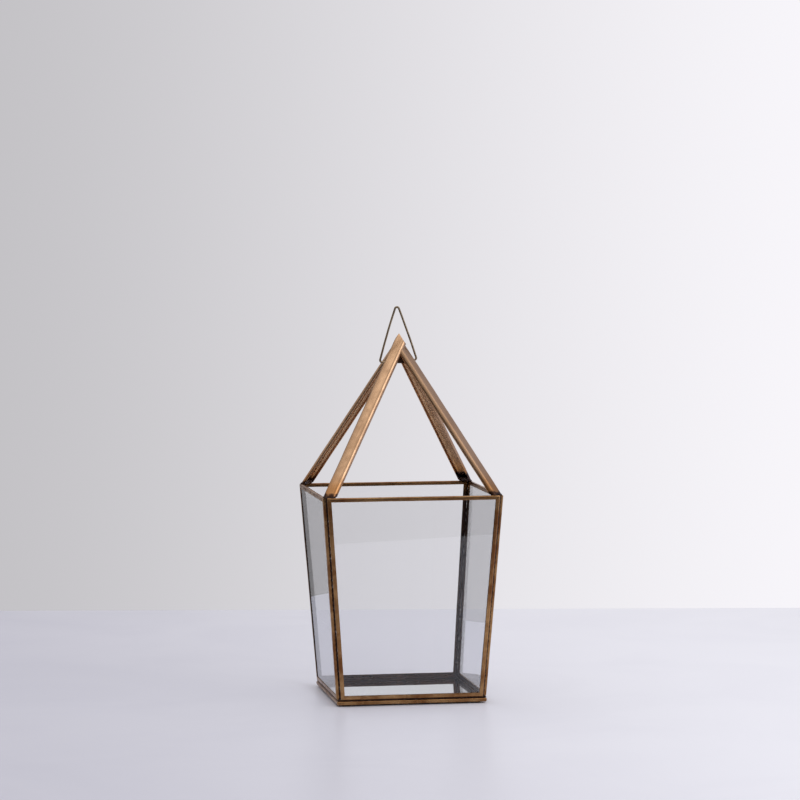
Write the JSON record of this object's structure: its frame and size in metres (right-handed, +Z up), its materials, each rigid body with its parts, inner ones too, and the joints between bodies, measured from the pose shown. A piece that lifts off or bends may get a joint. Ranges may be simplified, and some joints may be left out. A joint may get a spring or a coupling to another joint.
{
  "type": "geometric glass lantern",
  "caption": "Open-topped tapered glass lantern house with brass came edges, a mirror tray, an open strap roof and a swinging wire hanging ring.",
  "frame": {"origin": "on the table under the middle of the object", "axes": "+Z up, front pane facing -Y, +X to the right seen from the front; the ring's lower leg runs along X"},
  "size_m": [0.1468, 0.1468, 0.3201],
  "materials": {
    "came_brass": "aged, satin",
    "strap_brass": "brushed antique brass",
    "ring_wire": "dark patina, satin",
    "solder": "dark patinated solder",
    "glass": "clear, polished",
    "mirror": "polished mirror",
    "felt": "dark felt"
  },
  "bodies": {
    "lantern": {"corner_solder_front_left": "solder", "corner_solder_front_right": "solder", "corner_solder_rear_left": "solder", "corner_solder_rear_right": "solder", "felt_foot_front_left": "felt", "felt_foot_front_right": "felt", "felt_foot_rear_left": "felt", "felt_foot_rear_right": "felt", "front_came_bottom": "came_brass", "front_came_left": "came_brass", "front_came_right": "came_brass", "front_came_top": "came_brass", "front_pane": "glass", "left_came_bottom": "came_brass", "left_came_left": "came_brass", "left_came_right": "came_brass", "left_came_top": "came_brass", "left_pane": "glass", "peak_solder": "solder", "rear_came_bottom": "came_brass", "rear_came_left": "came_brass", "rear_came_right": "came_brass", "rear_came_top": "came_brass", "rear_pane": "glass", "right_came_bottom": "came_brass", "right_came_left": "came_brass", "right_came_right": "came_brass", "right_came_top": "came_brass", "right_pane": "glass", "roof_strap_front_left": "strap_brass", "roof_strap_front_right": "strap_brass", "roof_strap_rear_left": "strap_brass", "roof_strap_rear_right": "strap_brass", "strap_solder_front_left": "solder", "strap_solder_front_right": "solder", "strap_solder_rear_left": "solder", "strap_solder_rear_right": "solder", "tray_came_front": "came_brass", "tray_came_left": "came_brass", "tray_came_rear": "came_brass", "tray_came_right": "came_brass", "tray_mirror": "mirror", "tray_solder_front": "solder", "tray_solder_left": "solder", "tray_solder_rear": "solder", "tray_solder_right": "solder"},
    "ring": {"hanging_ring": "ring_wire"}
  },
  "joints": [
    {"name": "ring_swing", "type": "hinge", "parent": "lantern", "child": "ring", "pos_m": [0, 0, 0.27488], "axis": [0.9982, 0, 0.0593], "range_deg": [-72, 72]}
  ]
}
